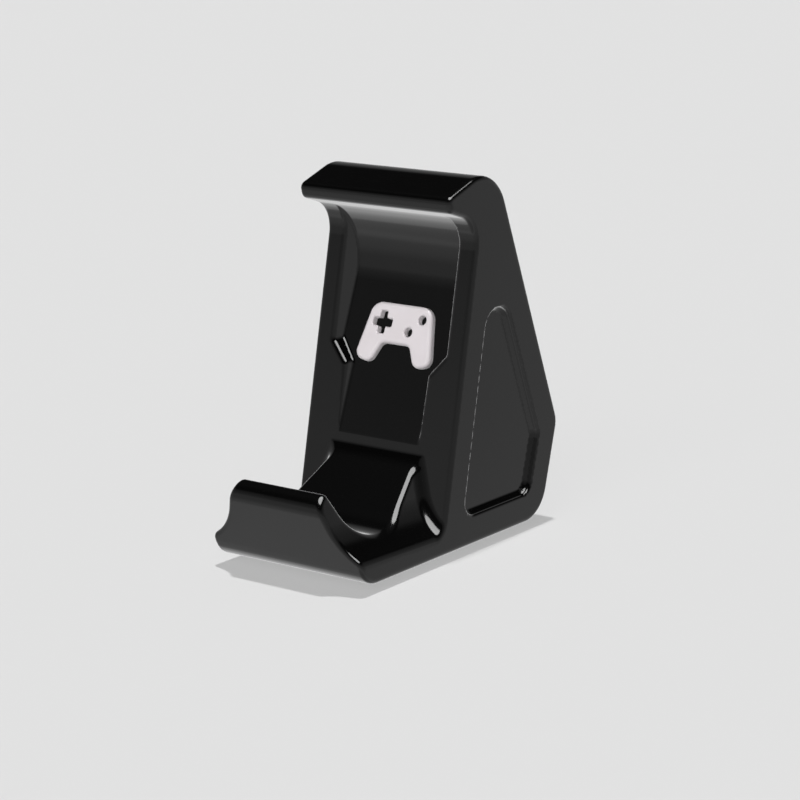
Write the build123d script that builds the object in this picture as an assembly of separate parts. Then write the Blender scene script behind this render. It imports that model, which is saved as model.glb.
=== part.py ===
from build123d import *
import os
from math import cos, radians, sin, tan

# Wall mount for a game controller: a moulded holder and a raised emblem on its backrest.
# Millimetres. X runs across the width, the lip faces -Y, and the base lies on Z = 0.
# The shapes are set out from the front foot of the base and centred on it at the end.

os.makedirs("parts", exist_ok=True)

# Holder, overall
body_width = 50.0
edge_radius = 1.3

# Base and front lip
front_foot_y = -5.0
front_lean = 17.4
front_foot_radius = 7.5
lip_height = 24.6
lip_top_slope = 19.0
lip_nose_radius = 3.25
lip_back_radius = 1.75
lip_inner_foot_y = 5.6
lip_inner_lean = 28.5

# Trough and the ramp up to the backrest
trough_radius = 14.6
ramp_y = 30.0
ramp_z = 21.8
ramp_slope = 36.5
ramp_top_radius = 6.0

# Backrest and hook
backrest_foot_y = 30.3
backrest_lean = 9.7
hook_tip_y = 31.0
hook_tip_z = 93.2
hook_tip_height = 3.6
hook_tip_radius = 1.75
hook_slope = 17.5
hook_root_radius = 8.0

# Rear
crown_radius = 12.5
rear_upper_foot_y = 99.1
rear_upper_lean = 23.3
rear_lower_foot_y = 79.1
rear_lower_lean = 15.5
rear_corner_radius = 7.0
rear_foot_radius = 9.0

# Side scoops that narrow the lip and the trough
scoop_edge_x = 22.6
scoop_lean = 19.3
scoop_strip_height = 6.6
scoop_floor_slope = 33.0
scoop_bend_radius = 17.0
scoop_root_radius = 1.6
scoop_fall = 1.7
scoop_top_z = 32.0

# Channel in the backrest
channel_half_width = 18.9
channel_waist_half_width = 13.7
channel_foot_z = 28.2
channel_hip_low_z = 46.9
channel_hip_high_z = 52.9
channel_hip_radius = 1.5
channel_floor_lean = 21.2
channel_crown_radius = 17.0
channel_floor_radius = 0.8
channel_mouth_radius = 1.3
tool_clearance = 0.8

# Shallow pockets in the two sides
pocket_depth = 2.35
pocket_margin = 9.2
pocket_rear_margin = 10.2
pocket_base_margin = 8.3
pocket_top_radius = 6.3
pocket_corner_radius = 4.5
pocket_floor_radius = 0.9

# Emblem: a game pad in outline with a cross and two round buttons
emblem_height_on_floor = 30.0
emblem_thickness = 2.2
emblem_pillow_radius = 0.8
pad_shoulder_x = 9.8
pad_shoulder_rise = 7.4
pad_shoulder_radius = 3.8
grip_outer_x = 12.8
grip_outer_drop = 8.6
grip_inner_x = 7.4
grip_inner_drop = 9.9
grip_radius = 2.5
pad_waist_x = 4.6
pad_waist_drop = 3.8
pad_waist_radius = 2.0
cross_size = 6.4
cross_arm = 2.3
cross_corner_radius = 0.5
control_spacing = 11.0
control_rise = 1.8
button_radius = 1.3
button_step = 1.9


def crossing(first, second):
    """Point where two lines cross, each given as a point and an angle."""
    (y1, z1), a1 = first
    (y2, z2), a2 = second
    u1, w1 = cos(radians(a1)), sin(radians(a1))
    u2, w2 = cos(radians(a2)), sin(radians(a2))
    t = ((y2 - y1) * w2 - (z2 - z1) * u2) / (u1 * w2 - w1 * u2)
    return (y1 + t * u1, z1 + t * w1)


def shifted(line, distance):
    """The line moved sideways to its left by the distance."""
    (y, z), angle = line
    return ((y - distance * sin(radians(angle)), z + distance * cos(radians(angle))), angle)


def rounded_outline(corners):
    """Flat face through the corners, each rounded by its own radius where it has one."""
    face = make_face(Polyline(*[point for point, radius in corners], close=True)).face()
    for point, radius in corners:
        if radius:
            vertex = face.vertices().sort_by_distance((point[0], point[1], 0))[0]
            face = face.fillet_2d(radius, [vertex])
    return face


def sharp_edges(solid):
    """Edges where two faces of the solid meet at a corner."""
    found = []
    for edge in solid.edges():
        faces = [face for face in solid.faces() if any(edge.is_same(other) for other in face.edges())]
        middle = edge.position_at(0.5)
        if len(faces) == 2 and faces[0].normal_at(middle).dot(faces[1].normal_at(middle)) < 0.995:
            found.append(edge)
    return found


# Side outline of the holder, as lines in the Y-Z plane
base_line = ((0.0, 0.0), 0.0)
front_line = ((front_foot_y, 0.0), 90.0 + front_lean)
lip_inner_line = ((lip_inner_foot_y, 0.0), 90.0 + lip_inner_lean)
ramp_line = ((ramp_y, ramp_z), ramp_slope)
backrest_line = ((backrest_foot_y, 0.0), 90.0 - backrest_lean)
hook_tip_low = (hook_tip_y, hook_tip_z)
hook_under_line = (hook_tip_low, 180.0 - hook_slope)
hook_tip_high = shifted((hook_tip_low, hook_slope), hook_tip_height)[0]
hook_top_line = (hook_tip_high, hook_slope)
rear_upper_line = ((rear_upper_foot_y, 0.0), 90.0 + rear_upper_lean)
rear_lower_line = ((rear_lower_foot_y, 0.0), 90.0 - rear_lower_lean)
lip_back = crossing(lip_inner_line, ((0.0, lip_height), 0.0))
lip_top_line = (lip_back, lip_top_slope)
hook_root = crossing(backrest_line, hook_under_line)

profile = rounded_outline([
    (crossing(base_line, front_line), front_foot_radius),
    (crossing(rear_lower_line, base_line), rear_foot_radius),
    (crossing(rear_upper_line, rear_lower_line), rear_corner_radius),
    (crossing(hook_top_line, rear_upper_line), crown_radius),
    (hook_tip_high, hook_tip_radius),
    (hook_tip_low, hook_tip_radius),
    (hook_root, hook_root_radius),
    (crossing(ramp_line, backrest_line), ramp_top_radius),
    (crossing(lip_inner_line, ramp_line), trough_radius),
    (lip_back, lip_back_radius),
    (crossing(front_line, lip_top_line), lip_nose_radius),
])
body = extrude(Plane.YZ * profile, body_width / 2, both=True)

# Side scoops, cut from the front as far back as the backrest, with a hollow rounding there
scoop_wall_line = ((scoop_edge_x, 0.0), 90.0 + scoop_lean)
scoop_floor_line = ((body_width / 2, scoop_strip_height), -scoop_floor_slope)
scoop_ceiling = ((0.0, scoop_top_z), 0.0)
scoop_outside = ((body_width, 0.0), 90.0)
scoop_section = rounded_outline([
    (crossing(scoop_wall_line, scoop_ceiling), 0.0),
    (crossing(scoop_wall_line, scoop_floor_line), scoop_bend_radius),
    (crossing(scoop_floor_line, scoop_outside), 0.0),
    (crossing(scoop_ceiling, scoop_outside), 0.0),
])
scoop_plane = Plane(
    origin=(0, 0, 0),
    x_dir=(1, 0, 0),
    z_dir=(0, -cos(radians(scoop_fall)), sin(radians(scoop_fall))),
)
cradle_side = rounded_outline([
    ((-body_width, -body_width), 0.0),
    (crossing(backrest_line, ((0.0, -body_width), 0.0)), 0.0),
    (crossing(backrest_line, scoop_ceiling), 0.0),
    ((-body_width, scoop_top_z), 0.0),
])
scoop = extrude(scoop_plane * scoop_section, body_width, both=True)
scoop = (scoop & extrude(Plane.YZ * cradle_side, 2 * body_width, both=True)).solids()[0]
backrest_tilt = sin(radians(backrest_lean))
scoop_rear = scoop.faces().filter_by(lambda face: abs(face.normal_at().Z + backrest_tilt) < 0.001)[0]
rear_edges = [
    edge for edge in scoop_rear.edges()
    if edge.center().X < body_width - 0.1 and edge.center().Z < scoop_top_z - 0.1
]
scoop = scoop.fillet(scoop_root_radius, rear_edges)
body = (body - scoop - mirror(scoop, Plane.YZ)).solids()[0]
body = body.fillet(edge_radius, sharp_edges(body))

# Channel: its floor leans further back than the backrest and curves over into the hook
channel_foot = crossing(backrest_line, ((0.0, channel_foot_z), 0.0))
channel_floor_line = (channel_foot, 90.0 - channel_floor_lean)
channel_side = rounded_outline([
    (channel_foot, 0.0),
    (crossing(channel_floor_line, hook_under_line), channel_crown_radius),
    (hook_tip_low, 0.0),
    ((hook_tip_y, channel_foot_z), 0.0),
])
channel_reach = extrude(Plane.YZ * channel_side, body_width, both=True)
channel_front = rounded_outline([
    ((-channel_waist_half_width, 0.0), 0.0),
    ((channel_waist_half_width, 0.0), 0.0),
    ((channel_waist_half_width, channel_hip_low_z), channel_hip_radius),
    ((channel_half_width, channel_hip_high_z), channel_hip_radius),
    ((channel_half_width, 2 * body_width), 0.0),
    ((-channel_half_width, 2 * body_width), 0.0),
    ((-channel_half_width, channel_hip_high_z), channel_hip_radius),
    ((-channel_waist_half_width, channel_hip_low_z), channel_hip_radius),
])
channel = (channel_reach & extrude(Plane.XZ * channel_front, 2 * body_width, both=True)).solids()[0]
channel_floor_edges = [
    edge for edge in channel.edges()
    if abs(edge.position_at(0.5).X) > channel_waist_half_width - channel_hip_radius
    and edge.position_at(0.5).Y > channel_foot[0] + 0.1
]
channel = channel.fillet(channel_floor_radius, channel_floor_edges)
body = body - channel

# Rounded mouth of the channel: a cove drawn up each wall and around into the hook
backrest_plane = Plane(
    origin=(0, backrest_foot_y, 0),
    x_dir=(1, 0, 0),
    z_dir=(0, -cos(radians(backrest_lean)), sin(radians(backrest_lean))),
)
up_backrest = 1 / cos(radians(backrest_lean))
hook_turn = 90.0 - hook_slope + backrest_lean
hook_root_reach = hook_root_radius * tan(radians(hook_turn / 2))
cove_foot = (channel_waist_half_width, (channel_foot_z - channel_mouth_radius) * up_backrest)
cove_path = backrest_plane * FilletPolyline(
    cove_foot,
    (channel_waist_half_width, channel_hip_low_z * up_backrest),
    (channel_half_width, channel_hip_high_z * up_backrest),
    (channel_half_width, hook_root[1] * up_backrest - hook_root_reach),
    radius=channel_hip_radius,
)
cove_outline = Polyline(
    (0, channel_mouth_radius),
    (-tool_clearance, channel_mouth_radius),
    (-tool_clearance, -tool_clearance),
    (channel_mouth_radius, -tool_clearance),
    (channel_mouth_radius, 0),
)
cove_round = RadiusArc((channel_mouth_radius, 0), (0, channel_mouth_radius), -channel_mouth_radius)
cove_section = make_face([*cove_outline.edges(), cove_round]).face()
cove_start = Plane(cove_path @ 0, x_dir=(1, 0, 0), z_dir=cove_path % 0)
cove_end = Plane(cove_path @ 1, x_dir=(1, 0, 0), z_dir=cove_path % 1)
cove = sweep(cove_start * cove_section, cove_path)
hook_root_axis = Axis(cove_path @ 1 + backrest_plane.z_dir * hook_root_radius, (1, 0, 0))
bend = revolve(cove_end * cove_section, axis=hook_root_axis, revolution_arc=hook_turn)
cove = (cove + bend) & channel_reach
body = body - cove - mirror(cove, Plane.YZ)

# Shallow pockets in the sides, following the outline at a margin
pocket_base_line = shifted(base_line, pocket_base_margin)
pocket_front_line = shifted(backrest_line, -pocket_margin)
pocket_low_rear_line = shifted(rear_lower_line, pocket_margin)
pocket_rear_line = shifted(rear_upper_line, pocket_rear_margin)
pocket_outline = rounded_outline([
    (crossing(pocket_base_line, pocket_front_line), pocket_corner_radius),
    (crossing(pocket_base_line, pocket_low_rear_line), pocket_corner_radius),
    (crossing(pocket_low_rear_line, pocket_rear_line), pocket_corner_radius),
    (crossing(pocket_rear_line, pocket_front_line), pocket_top_radius),
])
pocket_plane = Plane(origin=(body_width / 2 - pocket_depth, 0, 0), x_dir=(0, 1, 0), z_dir=(1, 0, 0))
pocket = extrude(pocket_plane * pocket_outline, 2 * pocket_depth)
pocket_floor = pocket.faces().sort_by(Axis.X)[0]
pocket = pocket.fillet(pocket_floor_radius, pocket_floor.edges())
body = (body - pocket - mirror(pocket, Plane.YZ)).solids()[0]

# Emblem: a game pad standing on the channel floor
channel_floor_plane = Plane(
    origin=(0, channel_foot[0], channel_foot[1]),
    x_dir=(1, 0, 0),
    z_dir=(0, -cos(radians(channel_floor_lean)), sin(radians(channel_floor_lean))),
)
pad = Sketch() + rounded_outline([
    ((-pad_waist_x, -pad_waist_drop), pad_waist_radius),
    ((pad_waist_x, -pad_waist_drop), pad_waist_radius),
    ((grip_inner_x, -grip_inner_drop), grip_radius),
    ((grip_outer_x, -grip_outer_drop), grip_radius),
    ((pad_shoulder_x, pad_shoulder_rise), pad_shoulder_radius),
    ((-pad_shoulder_x, pad_shoulder_rise), pad_shoulder_radius),
    ((-grip_outer_x, -grip_outer_drop), grip_radius),
    ((-grip_inner_x, -grip_inner_drop), grip_radius),
])
cross = Rectangle(cross_size, cross_arm) + Rectangle(cross_arm, cross_size)
cross = fillet(cross.vertices(), cross_corner_radius)
pad -= Pos(-control_spacing / 2, control_rise) * cross
buttons = Pos(control_spacing / 2, control_rise)
for step in (-button_step, button_step):
    pad -= buttons * Pos(step, step) * Circle(button_radius)
emblem = extrude(Pos(0, emblem_height_on_floor) * pad, emblem_thickness)
emblem_front = emblem.faces().sort_by(Axis.Z)[-1]
emblem = emblem.solids()[0].fillet(emblem_pillow_radius, emblem_front.edges())
emblem = channel_floor_plane * emblem

# Centre the base under the outline
extent = body.bounding_box()
centring = Pos(0, -(extent.min.Y + extent.max.Y) / 2, 0)
body = centring * body
emblem = centring * emblem

export_step(body, "parts/holder_body.step")
export_step(emblem, "parts/emblem.step")
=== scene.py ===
import logging
import math
from collections.abc import Callable
from dataclasses import dataclass
from enum import Enum

import bpy
import numpy as np
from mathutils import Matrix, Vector


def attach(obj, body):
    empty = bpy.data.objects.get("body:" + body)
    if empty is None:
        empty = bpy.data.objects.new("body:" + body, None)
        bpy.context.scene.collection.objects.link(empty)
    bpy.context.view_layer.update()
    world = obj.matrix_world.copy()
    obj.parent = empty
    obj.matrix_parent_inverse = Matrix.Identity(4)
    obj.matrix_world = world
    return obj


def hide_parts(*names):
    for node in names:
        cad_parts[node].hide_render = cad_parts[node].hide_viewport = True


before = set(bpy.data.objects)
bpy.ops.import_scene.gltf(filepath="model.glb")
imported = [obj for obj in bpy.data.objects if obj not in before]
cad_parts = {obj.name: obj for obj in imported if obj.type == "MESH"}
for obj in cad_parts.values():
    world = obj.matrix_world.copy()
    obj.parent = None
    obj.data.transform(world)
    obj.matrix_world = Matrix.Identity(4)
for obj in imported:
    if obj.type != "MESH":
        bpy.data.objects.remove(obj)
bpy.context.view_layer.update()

MM = 0.001
CAMERA_RAY = "Is Camera Ray"
# Radius in millimetres of a sharp corner in an outline, and of an edge whose rounding has run out.
SHARP_CORNER = 0.005
SHARP_EDGE = 1e-6
# Added to a length that is divided by, so that an empty stretch does no harm.
TINY = 1e-12
LOG = logging.getLogger("controller_wall_mount")

Point = tuple[float, float]
Line = tuple[Point, float]
Corner = tuple[Point, float]
Colour = tuple[float, float, float, float]
Grid = tuple[np.ndarray, np.ndarray, np.ndarray]
Field = Callable[[np.ndarray, np.ndarray, np.ndarray], np.ndarray]


def linear(hex_colour: str) -> Colour:
    """Turn an sRGB hex colour into linear light.

    Args:
        hex_colour: Six hex digits after a hash sign.

    Returns:
        Linear red, green, blue and an alpha of 1.
    """
    channels = [int(hex_colour[i:i + 2], 16) / 255 for i in (1, 3, 5)]
    bent = [c / 12.92 if c <= 0.04045 else ((c + 0.055) / 1.055) ** 2.4 for c in channels]
    return (bent[0], bent[1], bent[2], 1.0)


def add_node(tree: bpy.types.NodeTree, kind: str, settings: dict[str, object] | None = None,
             inputs: dict[str | int, object] | None = None) -> bpy.types.Node:
    """Add one node with its settings and links.

    Args:
        tree: The node tree that gets the node.
        kind: Blender's name for the kind of node.
        settings: Values for the node's own properties.
        inputs: Values for its sockets. A socket of another node makes a link.

    Returns:
        The new node.
    """
    node = tree.nodes.new(kind)
    for name, value in (settings or {}).items():
        setattr(node, name, value)
    for name, value in (inputs or {}).items():
        if isinstance(value, bpy.types.NodeSocket):
            tree.links.new(value, node.inputs[name])
        else:
            node.inputs[name].default_value = value
    return node


def blank_material(name: str) -> bpy.types.Material:
    """Make a material with an empty node tree.

    Args:
        name: The material's name.

    Returns:
        The material.
    """
    material = bpy.data.materials.new(name)
    material.use_nodes = True
    material.node_tree.nodes.clear()
    return material


def level(height: float) -> Line:
    """Give the level line at a height."""
    return ((0.0, height), 0.0)


def crossing(first: Line, second: Line) -> Point:
    """Find the point where two lines cross.

    Args:
        first: A point and an angle in degrees.
        second: Another.

    Returns:
        The point.
    """
    (y1, z1), a1 = first
    (y2, z2), a2 = second
    u1, w1 = math.cos(math.radians(a1)), math.sin(math.radians(a1))
    u2, w2 = math.cos(math.radians(a2)), math.sin(math.radians(a2))
    t = ((y2 - y1) * w2 - (z2 - z1) * u2) / (u1 * w2 - w1 * u2)
    return (y1 + t * u1, z1 + t * w1)


def shifted(line: Line, distance: float) -> Line:
    """Move a line sideways to its left.

    Args:
        line: A point and an angle in degrees.
        distance: How far.

    Returns:
        The line in its new place.
    """
    (y, z), angle = line
    turn = math.radians(angle)
    return ((y - distance * math.sin(turn), z + distance * math.cos(turn)), angle)


def both_halves(right: list[Corner]) -> list[Corner]:
    """Close the right half of an outline with its mirror image.

    Args:
        right: The right half's corners, from the bottom up.

    Returns:
        All corners, anticlockwise.
    """
    return right + [((-x, z), radius) for (x, z), radius in reversed(right)]


def round_overlap(first: np.ndarray, second: np.ndarray, radius: float | np.ndarray) -> np.ndarray:
    """Distance field of what two shapes share, with the edge where they meet rounded.

    Args:
        first: Distance field, negative inside.
        second: Another.
        radius: Radius of the edge.

    Returns:
        The distance field.
    """
    outside = np.hypot(np.maximum(first + radius, 0), np.maximum(second + radius, 0))
    return np.minimum(np.maximum(first, second), -radius) + outside


def bevel_overlap(first: np.ndarray, second: np.ndarray, width: float) -> np.ndarray:
    """Distance field of what two shapes share, with the edge where they meet bevelled.

    Args:
        first: Distance field, negative inside.
        second: Another.
        width: How far the bevel cuts back each face.

    Returns:
        The distance field.
    """
    return np.maximum(np.maximum(first, second), (first + second + width) * math.sqrt(0.5))


@dataclass(frozen=True)
class Run:
    """Straight stretch of an outline, with the inside on its left."""

    start: np.ndarray
    end: np.ndarray

    def taken_in(self, best: np.ndarray, across: np.ndarray, up: np.ndarray) -> np.ndarray:
        """Put in this stretch's signed distances where it is the nearest so far.

        Args:
            best: Signed distances so far, negative inside.
            across: First coordinates.
            up: Second coordinates.

        Returns:
            The signed distances with this stretch taken in.
        """
        step = self.end - self.start
        length = float(np.hypot(*step)) + TINY
        ux, uy = step / length
        dx, dy = across - self.start[0], up - self.start[1]
        along = np.clip(dx * ux + dy * uy, 0, length)
        size = np.hypot(dx - along * ux, dy - along * uy)
        found = np.where(ux * dy - uy * dx > 0, -size, size)
        return np.where(size < np.abs(best), found, best)


@dataclass(frozen=True)
class Arc:
    """Arc that rounds a corner of an outline: its turn is 1 where the outline bulges and -1 in a hollow."""

    centre: np.ndarray
    radius: float
    turn: float
    # Direction from the centre to the arc's middle, and the cosine of half its angle.
    middle: np.ndarray
    spread: float

    def taken_in(self, best: np.ndarray, across: np.ndarray, up: np.ndarray) -> np.ndarray:
        """Put in this stretch's signed distances where it is the nearest so far.

        Args:
            best: Signed distances so far, negative inside.
            across: First coordinates.
            up: Second coordinates.

        Returns:
            The signed distances with this stretch taken in.
        """
        dx, dy = across - self.centre[0], up - self.centre[1]
        size = np.hypot(dx, dy)
        found = self.turn * (size - self.radius)
        faced = dx * self.middle[0] + dy * self.middle[1] >= size * self.spread
        return np.where(faced & (np.abs(found) < np.abs(best)), found, best)


class Outline:
    """Closed outline of straight runs joined by arcs, for exact distances with no facets."""

    def __init__(self, corners: list[Corner]) -> None:
        """Round the corners of a polygon.

        Args:
            corners: The polygon's corners, anticlockwise, each with its radius.
        """
        points = [np.array(point) for point, _ in corners]
        ends, arcs = [], []
        for i, (_, radius) in enumerate(corners):
            back, ahead = points[i - 1] - points[i], points[(i + 1) % len(points)] - points[i]
            back, ahead = back / np.linalg.norm(back), ahead / np.linalg.norm(ahead)
            half = math.acos(float(np.clip(back @ ahead, -1, 1))) / 2
            radius = max(radius, SHARP_CORNER)
            turn = 1.0 if ahead[0] * back[1] - ahead[1] * back[0] > 0 else -1.0
            inward = (back + ahead) / np.linalg.norm(back + ahead)
            reach = radius / math.tan(half)
            ends.append((points[i] + back * reach, points[i] + ahead * reach))
            centre = points[i] + inward * radius / math.sin(half)
            arcs.append(Arc(centre, radius, turn, -inward, math.sin(half)))
        runs = [Run(ends[i - 1][1], ends[i][0]) for i in range(len(ends))]
        self.stretches: list[Run | Arc] = [*runs, *arcs]

    def distance(self, across: np.ndarray, up: np.ndarray) -> np.ndarray:
        """Work out signed distances.

        Args:
            across: First coordinates.
            up: Second coordinates.

        Returns:
            Distances to the outline, negative inside.
        """
        best = np.full(np.broadcast(across, up).shape, np.inf)
        for stretch in self.stretches:
            best = stretch.taken_in(best, across, up)
        return best


@dataclass(frozen=True)
class Mesher:
    """Turns a distance field into a mesh whose points and normals lie on the form.

    Each cell of the grid that the surface crosses gets one point. Where the surface crosses a line of the
    grid, the points of the four cells round it make a face.
    """

    # Half the step over which the field's slope is measured, in millimetres.
    probe: float = 0.06
    # How often each point is moved to the surface, and how far it may end from its cell's middle, in cells.
    passes: int = 4
    reach: float = 0.75
    # The squared slope is taken to be at least this, so that no point is thrown far off at a crease.
    least_slope_squared: float = 0.25

    def slope(self, field: Field, points: np.ndarray) -> np.ndarray:
        """Work out the field's slope at the points.

        Args:
            field: The distance field.
            points: The points, one in each row.

        Returns:
            The slope at each point.
        """
        parts = []
        for axis in range(3):
            step = np.zeros(3)
            step[axis] = self.probe
            parts.append((field(*(points + step).T) - field(*(points - step).T)) / (2 * self.probe))
        return np.stack(parts, axis=1)

    def crossed(self, inside: np.ndarray) -> np.ndarray:
        """Find the cells that the surface crosses.

        Args:
            inside: Whether each point of the grid is inside the form.

        Returns:
            Whether each cell has corners on both sides of the surface.
        """
        count = np.zeros([n - 1 for n in inside.shape], int)
        corners = list(np.ndindex(2, 2, 2))
        for corner in corners:
            count += inside[tuple(slice(c, c - 1 or None) for c in corner)]
        return (count > 0) & (count < len(corners))

    def settled(self, field: Field, grid: Grid, cells: np.ndarray) -> np.ndarray:
        """Place a point on the surface in each crossed cell.

        Args:
            field: The distance field.
            grid: The coordinates that the field is sampled at, along each axis.
            cells: Whether each cell is crossed.

        Returns:
            The points, one in each row.
        """
        chosen = np.nonzero(cells)
        points = np.stack([((axis[1:] + axis[:-1]) / 2)[i] for axis, i in zip(grid, chosen)], axis=1)
        reach = np.stack([np.diff(axis)[i] for axis, i in zip(grid, chosen)], axis=1) * self.reach
        lowest, highest = points - reach, points + reach
        for _ in range(self.passes):
            slope = self.slope(field, points)
            steep = np.maximum((slope ** 2).sum(axis=1), self.least_slope_squared)
            points = np.clip(points - slope * (field(*points.T) / steep)[:, None], lowest, highest)
        return points

    def faces(self, inside: np.ndarray, cells: np.ndarray) -> np.ndarray:
        """Join the points of the cells into faces.

        Args:
            inside: Whether each point of the grid is inside the form.
            cells: Whether each cell is crossed.

        Returns:
            The faces, each with the numbers of its four points in a row, wound to face outwards.
        """
        index = np.full(cells.shape, -1)
        index[cells] = np.arange(cells.sum())
        quads = []
        for axis in range(3):
            order = (axis, (axis + 1) % 3, (axis + 2) % 3)
            side, number = inside.transpose(order), index.transpose(order)
            i, j, k = np.nonzero(side[1:, 1:-1, 1:-1] != side[:-1, 1:-1, 1:-1])
            round_line = (number[i, j, k], number[i, j + 1, k], number[i, j + 1, k + 1], number[i, j, k + 1])
            quad = np.stack(round_line, axis=1)
            outward = side[i, j + 1, k + 1]
            quads.append(np.where(outward[:, None], quad, quad[:, ::-1]))
        return np.concatenate(quads)

    def mesh(self, name: str, field: Field, grid: Grid,
             place: Callable[[np.ndarray], np.ndarray]) -> bpy.types.Mesh:
        """Make the mesh.

        Args:
            name: The mesh's name.
            field: The distance field, in millimetres.
            grid: The coordinates that the field is sampled at, along each axis.
            place: Turns the field's points into points of the frame.

        Returns:
            The mesh, in metres, smooth, with the form's own normals.
        """
        inside = field(*np.ix_(*grid)) < 0
        cells = self.crossed(inside)
        points = self.settled(field, grid, cells)
        slope = self.slope(field, points)
        normals = slope / np.linalg.norm(slope, axis=1)[:, None]
        mesh = bpy.data.meshes.new(name)
        mesh.from_pydata((place(points) * MM).tolist(), [], self.faces(inside, cells).tolist())
        mesh.polygons.foreach_set("use_smooth", [True] * len(mesh.polygons))
        mesh.normals_split_custom_set_from_vertices((place(normals) - place(np.zeros((1, 3)))).tolist())
        return mesh


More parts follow.
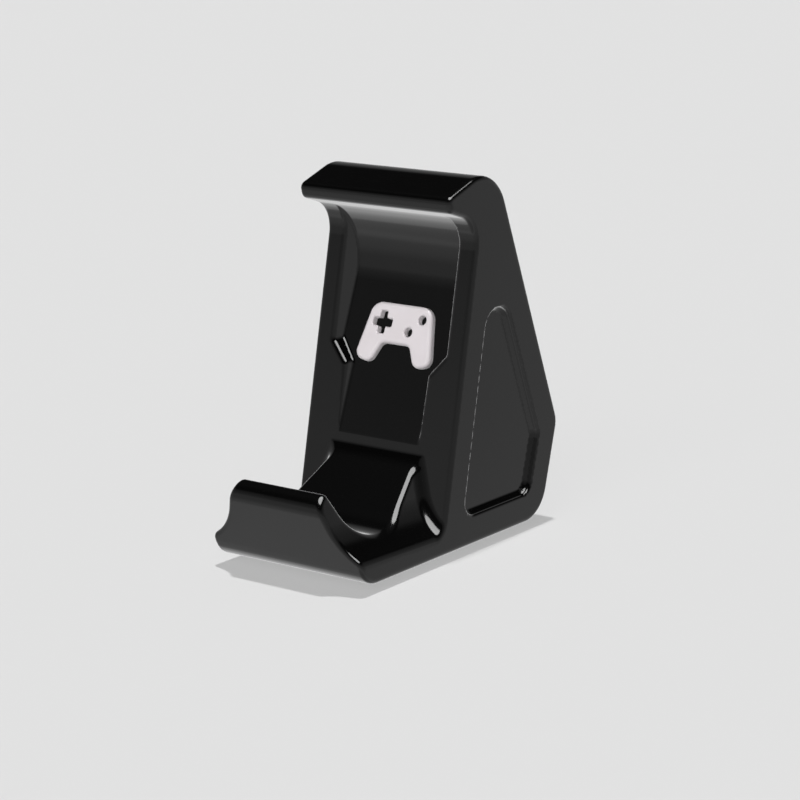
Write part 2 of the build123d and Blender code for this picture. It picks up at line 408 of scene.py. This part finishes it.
@dataclass(frozen=True)
class HolderForm:
    """The holder's form in millimetres and degrees, mirrored about X = 0.

    The outlines count Y from the front foot and Z from the base. Leans are off the upright and slopes off
    the level.
    """

    body_width: float = 50.0
    edge_radius: float = 1.3
    foot_to_centre: float = 37.5465
    # Side outline: the front and the lip.
    front_foot_y: float = -4.79
    front_lean: float = 19.0
    front_foot_radius: float = 7.5
    lip_height: float = 24.4
    lip_top_slope: float = 19.0
    lip_nose_radius: float = 4.2
    lip_back_radius: float = 1.6
    lip_top_width: float = 6.0
    lip_inner_lean: float = 28.5
    # The trough, the ramp that rises from it and the sill below the backrest.
    trough_radius: float = 15.2
    ramp_y: float = 30.0
    ramp_z: float = 21.9
    ramp_slope: float = 36.0
    ramp_top_slope: float = 60.0
    ramp_top_radius: float = 9.0
    sill_z: float = 25.9
    sill_radius: float = 2.0
    # The backrest, the hook and the crown.
    backrest_foot_y: float = 28.736
    backrest_lean: float = 11.0
    hook_tip_y: float = 32.8
    hook_tip_z: float = 93.0
    hook_tip_height: float = 4.0
    hook_tip_radius: float = 1.95
    hook_slope: float = 17.5
    hook_top_slope: float = 18.8
    hook_root_radius: float = 8.5
    crown_radius: float = 13.0
    # The rear. The wall is measured level, from the hook's root.
    rear_wall: float = 14.76
    rear_upper_lean: float = 22.8
    rear_lower_lean: float = 15.5
    rear_corner_z: float = 26.96
    rear_corner_radius: float = 7.0
    rear_foot_radius: float = 11.0
    # The scoops that narrow the lip and the trough. They fall a little towards the front.
    scoop_edge_inset: float = 2.645
    scoop_lean: float = 19.3
    scoop_strip_height: float = 6.6
    scoop_floor_slope: float = 33.0
    scoop_bend_radius: float = 17.0
    scoop_root_radius: float = 3.1
    scoop_fall: float = 1.7
    scoop_top_z: float = 32.0
    # The rounding of the scoops' edges grows by this for each millimetre in front of the backrest.
    run_out: float = 1.0
    # The channel: narrow at its waist, wide above its hips, and deeper towards the hook.
    channel_wall: float = 6.1
    channel_waist_wall: float = 11.3
    channel_foot_z: float = 28.4
    channel_hip_low_z: float = 47.0
    channel_hip_high_z: float = 53.0
    channel_hip_radius: float = 1.5
    channel_floor_lean: float = 21.2
    channel_crown_radius: float = 17.0
    channel_floor_radius: float = 0.6
    channel_mouth_radius: float = 1.3
    # The rounding of the channel's mouth grows by this for each millimetre of the channel's depth.
    mouth_run_out: float = 0.4
    # The pocket in each side, set out at margins from the base, the backrest and the rear.
    pocket_depth: float = 2.35
    pocket_margin: float = 9.2
    pocket_rear_margin: float = 10.2
    pocket_base_margin: float = 8.3
    pocket_top_radius: float = 6.3
    pocket_corner_radius: float = 4.5
    pocket_rim_bevel: float = 0.5
    pocket_floor_bevel: float = 1.1
    # The grid that the form is meshed on. It is coarse across the middle, where the form is plain, and it
    # starts so that the base falls between two of its levels.
    cell: float = 0.58
    cell_across: float = 0.5
    plain_cell: float = 2.0
    plain_half_width: float = 10.0
    grid_half_depth: float = 50.3
    grid_bottom: float = -0.83
    grid_top: float = 103.0

    def front_line(self) -> Line:
        """Give the line of the front."""
        return ((self.front_foot_y, 0.0), 90.0 + self.front_lean)

    def backrest_line(self) -> Line:
        """Give the line of the backrest."""
        return ((self.backrest_foot_y, 0.0), 90.0 - self.backrest_lean)

    def hook_tip(self) -> Point:
        """Give the lower corner of the hook's tip."""
        return (self.hook_tip_y, self.hook_tip_z)

    def hook_under_line(self) -> Line:
        """Give the line of the hook's underside."""
        return (self.hook_tip(), 180.0 - self.hook_slope)

    def hook_root(self) -> Point:
        """Give the corner where the hook's underside meets the backrest."""
        return crossing(self.backrest_line(), self.hook_under_line())

    def rear_upper_line(self) -> Line:
        """Give the line of the rear above its corner."""
        root_y, root_z = self.hook_root()
        return ((root_y + self.rear_wall, root_z), 90.0 + self.rear_upper_lean)

    def rear_lower_line(self) -> Line:
        """Give the line of the rear below its corner."""
        return (crossing(self.rear_upper_line(), level(self.rear_corner_z)), 90.0 - self.rear_lower_lean)

    def channel_foot(self) -> Point:
        """Give the point where the channel's floor leaves the backrest."""
        return crossing(self.backrest_line(), level(self.channel_foot_z))

    def side_outline(self) -> Outline:
        """Draw the body from the side.

        Returns:
            The outline, which starts at the front foot and runs along the base.
        """
        base, front = level(0.0), self.front_line()
        rear_upper, rear_lower = self.rear_upper_line(), self.rear_lower_line()
        lip_front_y, _ = crossing(front, level(self.lip_height))
        lip_back = (lip_front_y + self.lip_top_width, self.lip_height)
        lip_inner = (lip_back, 90.0 + self.lip_inner_lean)
        ramp = ((self.ramp_y, self.ramp_z), self.ramp_slope)
        sill = crossing(self.backrest_line(), level(self.sill_z))
        tip_top, _ = shifted((self.hook_tip(), self.hook_slope), self.hook_tip_height)
        return Outline([
            (crossing(base, front), self.front_foot_radius),
            (crossing(rear_lower, base), self.rear_foot_radius),
            (crossing(rear_upper, level(self.rear_corner_z)), self.rear_corner_radius),
            (crossing((tip_top, self.hook_top_slope), rear_upper), self.crown_radius),
            (tip_top, self.hook_tip_radius),
            (self.hook_tip(), self.hook_tip_radius),
            (self.hook_root(), self.hook_root_radius),
            (sill, self.sill_radius),
            (crossing(ramp, (sill, self.ramp_top_slope)), self.ramp_top_radius),
            (crossing(lip_inner, ramp), self.trough_radius),
            (lip_back, self.lip_back_radius),
            (crossing(front, (lip_back, self.lip_top_slope)), self.lip_nose_radius),
        ])

    def scoop_outline(self) -> Outline:
        """Draw what a scoop takes away, from the front.

        Returns:
            The outline of the right scoop. Its top and its outer side lie well outside the body.
        """
        half = self.body_width / 2
        wall = ((half - self.scoop_edge_inset, 0.0), 90.0 + self.scoop_lean)
        floor = ((half, self.scoop_strip_height), -self.scoop_floor_slope)
        top, outside = level(2 * self.scoop_top_z), ((self.body_width, 0.0), 90.0)
        return Outline([
            (crossing(wall, floor), self.scoop_bend_radius),
            (crossing(floor, outside), 0.0),
            (crossing(top, outside), 0.0),
            (crossing(wall, top), 0.0),
        ])

    def channel_side_outline(self) -> Outline:
        """Draw the channel from the side.

        Returns:
            The outline: its floor, its curve under the crown, the hook's underside and an open front.
        """
        foot = self.channel_foot()
        floor = (foot, 90.0 - self.channel_floor_lean)
        return Outline([
            (foot, 0.0),
            (crossing(floor, self.hook_under_line()), self.channel_crown_radius),
            (self.hook_tip(), 0.0),
            ((self.hook_tip_y, self.channel_foot_z), 0.0),
        ])

    def channel_front_outline(self) -> Outline:
        """Draw the channel from the front.

        Returns:
            The outline. Its bottom and its top lie well outside the channel.
        """
        half = self.body_width / 2
        waist, wide = half - self.channel_waist_wall, half - self.channel_wall
        return Outline(both_halves([
            ((waist, 0.0), 0.0),
            ((waist, self.channel_hip_low_z), self.channel_hip_radius),
            ((wide, self.channel_hip_high_z), self.channel_hip_radius),
            ((wide, 2 * self.body_width), 0.0),
        ]))

    def pocket_outline(self) -> Outline:
        """Draw the side pocket.

        Returns:
            The outline, which follows the body's own at the margins.
        """
        base, front = level(self.pocket_base_margin), shifted(self.backrest_line(), -self.pocket_margin)
        low_rear = shifted(self.rear_lower_line(), self.pocket_margin)
        rear = shifted(self.rear_upper_line(), self.pocket_rear_margin)
        return Outline([
            (crossing(base, front), self.pocket_corner_radius),
            (crossing(base, low_rear), self.pocket_corner_radius),
            (crossing(low_rear, rear), self.pocket_corner_radius),
            (crossing(rear, front), self.pocket_top_radius),
        ])

    def field(self) -> Field:
        """Cut the form together.

        Returns:
            Its distance field in the shared frame, in millimetres.
        """
        half = self.body_width / 2
        lean, fall = math.radians(self.backrest_lean), math.radians(self.scoop_fall)
        side_outline, scoop_outline = self.side_outline(), self.scoop_outline()
        channel_side, channel_front = self.channel_side_outline(), self.channel_front_outline()
        pocket_outline = self.pocket_outline()

        def distance(x: np.ndarray, y: np.ndarray, z: np.ndarray) -> np.ndarray:
            """Work out signed distances to the form.

            Args:
                x: First coordinates in the frame.
                y: Second coordinates.
                z: Third coordinates.

            Returns:
                The distances, negative inside.
            """
            x, y = np.abs(x), y + self.foot_to_centre
            side = side_outline.distance(y, z)
            # Each scoop ends in a hollow rounding at the backrest's plane.
            behind = (y - self.backrest_foot_y) * math.cos(lean) - z * math.sin(lean)
            scoop = scoop_outline.distance(x, y * math.sin(fall) + z * math.cos(fall))
            scoop = round_overlap(scoop, behind, self.scoop_root_radius)
            scoop = np.maximum(scoop, z - self.scoop_top_z)
            edge = np.clip(self.run_out * (-side - behind), SHARP_EDGE, self.edge_radius)
            body = round_overlap(side, -scoop, edge)
            body = round_overlap(body, x - half, self.edge_radius)
            reach = channel_side.distance(y, z)
            channel = round_overlap(reach, channel_front.distance(x, z), self.channel_floor_radius)
            mouth = np.clip(self.mouth_run_out * (-side - reach), SHARP_EDGE, self.channel_mouth_radius)
            body = round_overlap(body, -channel, mouth)
            above_floor = half - self.pocket_depth - x
            pocket = bevel_overlap(pocket_outline.distance(y, z), above_floor, self.pocket_floor_bevel)
            return bevel_overlap(body, -pocket, self.pocket_rim_bevel)

        return distance

    def grid(self) -> Grid:
        """Choose where the field is sampled.

        Returns:
            The coordinates along X, Y and Z.
        """
        edge = self.body_width / 2 + self.cell_across
        fine = np.arange(self.plain_half_width, edge + self.cell_across, self.cell_across)
        plain = np.arange(self.plain_half_width - self.plain_cell, 0, -self.plain_cell)[::-1]
        right = np.concatenate([plain, fine])
        across = np.concatenate([-right[::-1], right])
        deep = np.arange(-self.grid_half_depth, self.grid_half_depth, self.cell)
        return across, deep, np.arange(self.grid_bottom, self.grid_top, self.cell)


@dataclass(frozen=True)
class EmblemForm:
    """The emblem's form in millimetres, seen square on: a game pad with a cross and two round buttons."""

    # How far its middle lies up the channel's floor, and how far it stands out from it.
    height_on_floor: float = 30.0
    thickness: float = 2.2
    edge_radius: float = 1.1
    cut_radius: float = 0.55
    # The pad's outline, counted from its middle.
    shoulder_x: float = 9.8
    shoulder_rise: float = 7.4
    shoulder_radius: float = 3.8
    grip_outer_x: float = 12.8
    grip_outer_drop: float = 8.6
    grip_inner_x: float = 7.4
    grip_inner_drop: float = 9.9
    grip_radius: float = 2.5
    waist_x: float = 4.6
    waist_drop: float = 3.8
    waist_radius: float = 2.0
    # The cross and the buttons, which are cut through.
    cross_size: float = 6.4
    cross_arm: float = 2.3
    cross_corner_radius: float = 0.5
    control_spacing: float = 11.0
    control_rise: float = 1.8
    button_radius: float = 1.3
    button_step: float = 1.9
    # The grid that the form is meshed on, counted from the pad's middle and from the channel's floor.
    cell: float = 0.22
    grid_half_width: float = 13.5
    grid_drop: float = 10.5
    grid_rise: float = 8.2
    grid_behind: float = 0.33
    grid_ahead: float = 0.5

    def pad_outline(self) -> Outline:
        """Draw the pad.

        Returns:
            The outline.
        """
        return Outline(both_halves([
            ((self.waist_x, -self.waist_drop), self.waist_radius),
            ((self.grip_inner_x, -self.grip_inner_drop), self.grip_radius),
            ((self.grip_outer_x, -self.grip_outer_drop), self.grip_radius),
            ((self.shoulder_x, self.shoulder_rise), self.shoulder_radius),
        ]))

    def cross_outline(self) -> Outline:
        """Draw the cross, arm by arm.

        Returns:
            The outline.
        """
        long, short = self.cross_size / 2, self.cross_arm / 2
        arm = [(long, -short), (long, short), (short, short)]
        corners = []
        for _ in range(4):
            corners += [(point, self.cross_corner_radius) for point in arm]
            arm = [(-y, x) for x, y in arm]
        return Outline(corners)

    def field(self) -> Field:
        """Cut the form together.

        Returns:
            Its distance field: across, up the channel's floor and out from it.
        """
        pad, cross = self.pad_outline(), self.cross_outline()
        side = self.control_spacing / 2

        def distance(x: np.ndarray, y: np.ndarray, z: np.ndarray) -> np.ndarray:
            """Work out signed distances to the form.

            Args:
                x: Coordinates across the floor.
                y: Coordinates up the floor.
                z: Coordinates out from it.

            Returns:
                The distances, negative inside.
            """
            up = y - self.height_on_floor
            rise = up - self.control_rise
            cuts = cross.distance(x + side, rise)
            for step in (-self.button_step, self.button_step):
                cuts = np.minimum(cuts, np.hypot(x - side - step, rise - step) - self.button_radius)
            body = round_overlap(pad.distance(x, up), z - self.thickness, self.edge_radius)
            body = round_overlap(body, -cuts, self.cut_radius)
            return np.maximum(body, -z)

        return distance

    def grid(self) -> Grid:
        """Choose where the field is sampled.

        Returns:
            The coordinates across the floor, up it and out from it.
        """
        middle = self.height_on_floor
        across = np.arange(-self.grid_half_width, self.grid_half_width, self.cell)
        up = np.arange(middle - self.grid_drop, middle + self.grid_rise, self.cell)
        return across, up, np.arange(-self.grid_behind, self.thickness + self.grid_ahead, self.cell)


@dataclass(frozen=True)
class PolishedBlackAbs:
    """Black ABS, moulded in a polished tool: deep black with mirror-like, slightly soft reflections."""

    name: str = "polished_black_abs"
    colour: str = "#040404"
    ior: float = 1.5
    roughness: float = 0.12
    haze: float = 0.03
    haze_size_mm: float = 14.0
    haze_detail: float = 3.0
    # The noise stays between these nearly everywhere.
    haze_low: float = 0.3
    haze_high: float = 0.7
    peel_size_mm: float = 1.6
    peel_detail: float = 1.0
    peel_depth_mm: float = 0.0012

    def build(self) -> bpy.types.Material:
        """Make the material.

        Returns:
            The material, with roughness and bump worked out from sizes in millimetres.
        """
        material = blank_material(self.name)
        tree = material.node_tree
        place = add_node(tree, "ShaderNodeTexCoord")
        # Handling leaves broad, faint patches in the gloss.
        patches = add_node(tree, "ShaderNodeTexNoise", inputs={
            "Vector": place.outputs["Object"], "Scale": 1 / (self.haze_size_mm * MM),
            "Detail": self.haze_detail,
        })
        gloss = add_node(tree, "ShaderNodeMapRange", inputs={
            "Value": patches.outputs["Fac"], "From Min": self.haze_low, "From Max": self.haze_high,
            "To Min": self.roughness - self.haze / 2, "To Max": self.roughness + self.haze / 2,
        })
        # Shrinkage as the plastic cools leaves a fine orange peel, about a micrometre deep.
        peel = add_node(tree, "ShaderNodeTexNoise", inputs={
            "Vector": place.outputs["Object"], "Scale": 1 / (self.peel_size_mm * MM),
            "Detail": self.peel_detail,
        })
        bump = add_node(tree, "ShaderNodeBump", inputs={
            "Height": peel.outputs["Fac"], "Strength": 1.0, "Distance": self.peel_depth_mm * MM,
        })
        shader = add_node(tree, "ShaderNodeBsdfPrincipled", inputs={
            "Base Color": linear(self.colour), "IOR": self.ior,
            "Roughness": gloss.outputs["Result"], "Normal": bump.outputs["Normal"],
        })
        add_node(tree, "ShaderNodeOutputMaterial", inputs={"Surface": shader.outputs["BSDF"]})
        return material


@dataclass(frozen=True)
class SatinWhiteAbs:
    """White ABS, moulded in a finely blasted tool: an even soft white with a blurred sheen."""

    name: str = "satin_white_abs"
    colour: str = "#dcd6d9"
    shade: str = "#d3cdcf"
    ior: float = 1.5
    roughness: float = 0.42
    grain_size_mm: float = 0.35
    grain_detail: float = 1.0
    grain_depth_mm: float = 0.004
    tone_size_mm: float = 6.0
    tone_detail: float = 2.0

    def build(self) -> bpy.types.Material:
        """Make the material.

        Returns:
            The material, with a fine blasted grain and a faint change of tone.
        """
        material = blank_material(self.name)
        tree = material.node_tree
        place = add_node(tree, "ShaderNodeTexCoord")
        # The pigment is not mixed quite evenly, so the white changes a little over some millimetres.
        tone = add_node(tree, "ShaderNodeTexNoise", inputs={
            "Vector": place.outputs["Object"], "Scale": 1 / (self.tone_size_mm * MM),
            "Detail": self.tone_detail,
        })
        colour = add_node(tree, "ShaderNodeMix", {"data_type": "RGBA"}, {
            "Factor": tone.outputs["Fac"], "A": linear(self.colour), "B": linear(self.shade),
        })
        # The blasted tool leaves a grain that blurs the sheen, drawn as coarse as it needs to show.
        grain = add_node(tree, "ShaderNodeTexNoise", inputs={
            "Vector": place.outputs["Object"], "Scale": 1 / (self.grain_size_mm * MM),
            "Detail": self.grain_detail,
        })
        bump = add_node(tree, "ShaderNodeBump", inputs={
            "Height": grain.outputs["Fac"], "Strength": 1.0, "Distance": self.grain_depth_mm * MM,
        })
        shader = add_node(tree, "ShaderNodeBsdfPrincipled", inputs={
            "Base Color": colour.outputs[2], "IOR": self.ior,
            "Roughness": self.roughness, "Normal": bump.outputs["Normal"],
        })
        add_node(tree, "ShaderNodeOutputMaterial", inputs={"Surface": shader.outputs["BSDF"]})
        return material


@dataclass(frozen=True)
class PaleBackdropPaper:
    """Pale grey backdrop paper: flat and even, with a crisp shadow that stays light."""

    name: str = "pale_backdrop_paper"
    lit: str = "#e0e0e0"
    shadowed: str = "#b4b4b4"
    # What the fill lamp adds to the whole floor, as a share of what the overhead lamp adds.
    fill_share: float = 0.44

    def build(self) -> bpy.types.Material:
        """Make the material.

        Returns:
            The material: the camera sees the shadow tone everywhere, and the lamp overhead adds the rest.
        """
        material = blank_material(self.name)
        tree = material.node_tree
        lit, shadowed = linear(self.lit), linear(self.shadowed)
        added = tuple(a - b for a, b in zip(lit[:3], shadowed[:3])) + (1.0,)
        glowing = tuple(b - self.fill_share * a for a, b in zip(added[:3], shadowed[:3])) + (1.0,)
        path = add_node(tree, "ShaderNodeLightPath")
        glow = add_node(tree, "ShaderNodeEmission", inputs={
            "Color": glowing, "Strength": path.outputs[CAMERA_RAY],
        })
        paper = add_node(tree, "ShaderNodeBsdfDiffuse", inputs={"Color": added})
        both = add_node(tree, "ShaderNodeAddShader", inputs={0: glow.outputs[0], 1: paper.outputs[0]})
        add_node(tree, "ShaderNodeOutputMaterial", inputs={"Surface": both.outputs[0]})
        return material


def dressed(name: str, mesh: bpy.types.Mesh, node: str, material: bpy.types.Material) -> bpy.types.Object:
    """Show a mesh in the place of a CAD node.

    Args:
        name: The piece's name.
        mesh: Its mesh, in the shared frame.
        node: The CAD node that it stands for.
        material: Its material.

    Returns:
        The piece.
    """
    piece = bpy.data.objects.new(name, mesh)
    bpy.context.scene.collection.objects.link(piece)
    mesh.materials.append(material)
    # The gloss mirrors only the studio, and not the part itself, as in a plain product picture.
    piece.visible_glossy = False
    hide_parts(node)
    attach(piece, "root")
    return piece


@dataclass
class HolderBody:
    """The holder: one moulded body in black."""

    name: str = "moulded_holder"
    node: str = "holder_body"
    form: HolderForm = HolderForm()
    finish: PolishedBlackAbs = PolishedBlackAbs()

    def place(self, points: np.ndarray) -> np.ndarray:
        """Leave points where they are, because the form is set out in the frame."""
        return points

    def build(self) -> bpy.types.Object:
        """Model the body with its roundings and bevels, and dress it.

        Returns:
            The piece.
        """
        mesh = Mesher().mesh(self.name, self.form.field(), self.form.grid(), self.place)
        return dressed(self.name, mesh, self.node, self.finish.build())


@dataclass
class Emblem:
    """The raised pad emblem on the channel floor, in white."""

    name: str = "pad_emblem"
    node: str = "emblem"
    holder: HolderForm = HolderForm()
    form: EmblemForm = EmblemForm()
    finish: SatinWhiteAbs = SatinWhiteAbs()

    def place(self, points: np.ndarray) -> np.ndarray:
        """Turn points on the channel's floor into points of the frame.

        Args:
            points: Across, up the floor and out from it, one point in each row.

        Returns:
            The points in the frame.
        """
        lean = math.radians(self.holder.channel_floor_lean)
        foot_y, foot_z = self.holder.channel_foot()
        x, up, out = points.T
        y = foot_y - self.holder.foot_to_centre + up * math.sin(lean) - out * math.cos(lean)
        return np.stack([x, y, foot_z + up * math.cos(lean) + out * math.sin(lean)], axis=1)

    def build(self) -> bpy.types.Object:
        """Model the emblem with soft edges, and dress it.

        Returns:
            The piece.
        """
        mesh = Mesher().mesh(self.name, self.form.field(), self.form.grid(), self.place)
        return dressed(self.name, mesh, self.node, self.finish.build())


class ShowsOn(Enum):
    """What a lamp shows on."""

    MATTE = "lights matte surfaces"
    GLOSS = "is mirrored in the gloss"


@dataclass(frozen=True)
class Lamp:
    """Distant soft lamp."""

    name: str
    # Direction from the object to the lamp.
    toward: tuple[float, float, float]
    # On matte surfaces 1 renders a colour as it is written. In the gloss it is the lamp's own brightness.
    level: float
    # How wide the lamp looks from the object, in degrees.
    width_deg: float
    shows_on: ShowsOn
    casts_shadow: bool = False

    def irradiance(self) -> float:
        """Work out how much light falls on a surface that faces the lamp.

        Returns:
            The irradiance.
        """
        if self.shows_on is ShowsOn.MATTE:
            return math.pi * self.level
        return math.pi * math.sin(math.radians(self.width_deg / 2)) ** 2 * self.level

    def build(self) -> bpy.types.Object:
        """Hang the lamp.

        Returns:
            The lamp.
        """
        light = bpy.data.lights.new(self.name, "SUN")
        light.energy = self.irradiance()
        light.angle = math.radians(self.width_deg)
        light.use_shadow = self.casts_shadow
        lamp = bpy.data.objects.new(self.name, light)
        lamp.rotation_mode = "QUATERNION"
        lamp.rotation_quaternion = Vector(self.toward).to_track_quat("Z", "Y")
        lamp.visible_diffuse = self.shows_on is ShowsOn.MATTE
        lamp.visible_glossy = self.shows_on is ShowsOn.GLOSS
        bpy.context.scene.collection.objects.link(lamp)
        return lamp


@dataclass
class Studio:
    """Pale floor, surroundings that the gloss mirrors, and plain soft lamps."""

    # The floor lies a little below the base, so that the shadow shows all round.
    floor_size: float = 12.0
    floor_drop_mm: float = 2.3
    backdrop: str = "#e0e0e0"
    # The first casts the floor's shadow and the second lights the emblem. Of the two that only the gloss
    # catches, one hangs overhead, on edges that turn up, and one glows on the underside of the hook.
    lamps: tuple[Lamp, ...] = (
        Lamp("overhead", (0.0, 0.0, 1.0), 1.0, 3.0, ShowsOn.MATTE, casts_shadow=True),
        Lamp("front_fill", (0.25, -0.85, 0.45), 0.9, 40.0, ShowsOn.MATTE),
        Lamp("highlight", (0.25, 0.06, 0.97), 9.0, 50.0, ShowsOn.GLOSS),
        Lamp("low_glow", (-0.57, 0.60, -0.56), 0.45, 70.0, ShowsOn.GLOSS),
    )
    # Brightness of the surroundings that the gloss mirrors, by height above the horizon in degrees.
    surroundings: tuple[tuple[float, float], ...] = (
        (-90.0, 0.55), (-58.0, 0.60), (-50.0, 0.70), (-46.0, 0.85), (-43.5, 0.85), (-39.0, 0.64),
        (-27.0, 0.62), (-14.0, 0.46), (0.0, 0.46), (4.0, 0.46), (9.0, 0.30), (21.0, 0.18),
        (26.0, 0.15), (31.0, 0.01), (44.0, 0.01), (58.0, 0.04), (90.0, 0.05),
    )

    def lay_floor(self) -> bpy.types.Object:
        """Lay the floor.

        Returns:
            The floor.
        """
        half, height = self.floor_size / 2, -self.floor_drop_mm * MM
        mesh = bpy.data.meshes.new("floor")
        corners = [(-half, -half, height), (half, -half, height), (half, half, height), (-half, half, height)]
        mesh.from_pydata(corners, [], [(0, 1, 2, 3)])
        floor = bpy.data.objects.new("floor", mesh)
        bpy.context.scene.collection.objects.link(floor)
        mesh.materials.append(PaleBackdropPaper().build())
        floor.visible_glossy = False
        return floor

    def surround(self) -> bpy.types.World:
        """Set the surroundings: a smooth gradient that the gloss mirrors, behind a pale backdrop.

        Returns:
            The world.
        """
        world = bpy.data.worlds.new("surroundings")
        bpy.context.scene.world = world
        world.use_nodes = True
        tree = world.node_tree
        tree.nodes.clear()
        place = add_node(tree, "ShaderNodeTexCoord")
        split = add_node(tree, "ShaderNodeSeparateXYZ", inputs={"Vector": place.outputs["Generated"]})
        height = add_node(tree, "ShaderNodeMapRange", inputs={
            "Value": split.outputs["Z"], "From Min": -1.0, "From Max": 1.0,
        })
        ramp = add_node(tree, "ShaderNodeValToRGB", inputs={"Fac": height.outputs["Result"]})
        stops = ramp.color_ramp.elements
        while len(stops) < len(self.surroundings):
            stops.new(0.5)
        # The stops sort themselves as they are placed, so they get their brightness after that.
        for stop, (degrees, _) in zip(stops, self.surroundings):
            stop.position = (math.sin(math.radians(degrees)) + 1) / 2
        for stop, (_, brightness) in zip(stops, self.surroundings):
            stop.color = (brightness, brightness, brightness, 1.0)
        path = add_node(tree, "ShaderNodeLightPath")
        mirrored = add_node(tree, "ShaderNodeBackground", inputs={"Color": ramp.outputs["Color"]})
        seen = add_node(tree, "ShaderNodeBackground", inputs={"Color": linear(self.backdrop)})
        both = add_node(tree, "ShaderNodeMixShader", inputs={
            0: path.outputs[CAMERA_RAY], 1: mirrored.outputs[0], 2: seen.outputs[0],
        })
        add_node(tree, "ShaderNodeOutputWorld", inputs={"Surface": both.outputs[0]})
        return world

    def build(self) -> None:
        """Lay the floor, hang the lamps and set the surroundings."""
        self.lay_floor()
        for lamp in self.lamps:
            lamp.build()
        self.surround()


@dataclass
class PhotoCamera:
    """Camera at the photograph's viewing angle."""

    name: str = "photo_camera"
    azimuth_deg: float = 35.9
    elevation_deg: float = 13.4
    # In metres, in the shared frame.
    place: tuple[float, float, float] = (0.39403, -0.53739, 0.19731)
    nearest: float = 0.01
    farthest: float = 50.0
    lens_mm: float = 112.5
    sensor_mm: float = 36.0

    def build(self) -> bpy.types.Object:
        """Make the camera and set it as the scene's own.

        Returns:
            The camera.
        """
        turn, rise = math.radians(self.azimuth_deg), math.radians(self.elevation_deg)
        back = Vector((math.sin(turn) * math.cos(rise), -math.cos(turn) * math.cos(rise), math.sin(rise)))
        data = bpy.data.cameras.new(self.name)
        data.lens, data.sensor_width = self.lens_mm, self.sensor_mm
        data.clip_start, data.clip_end = self.nearest, self.farthest
        camera = bpy.data.objects.new(self.name, data)
        camera.location = self.place
        camera.rotation_mode = "QUATERNION"
        camera.rotation_quaternion = (-back).to_track_quat("-Z", "Y")
        bpy.context.scene.collection.objects.link(camera)
        bpy.context.scene.camera = camera
        return camera


def main() -> None:
    """Build the camera, the studio and the pieces, and report each piece."""
    logging.basicConfig(level=logging.INFO, format="%(name)s: %(message)s")
    bpy.context.scene.view_settings.view_transform = "Standard"
    PhotoCamera().build()
    Studio().build()
    for assembly in (HolderBody(), Emblem()):
        piece = assembly.build()
        LOG.info("%s: %d faces, %s", piece.name, len(piece.data.polygons), piece.data.materials[0].name)


if __name__ == "__main__":
    main()
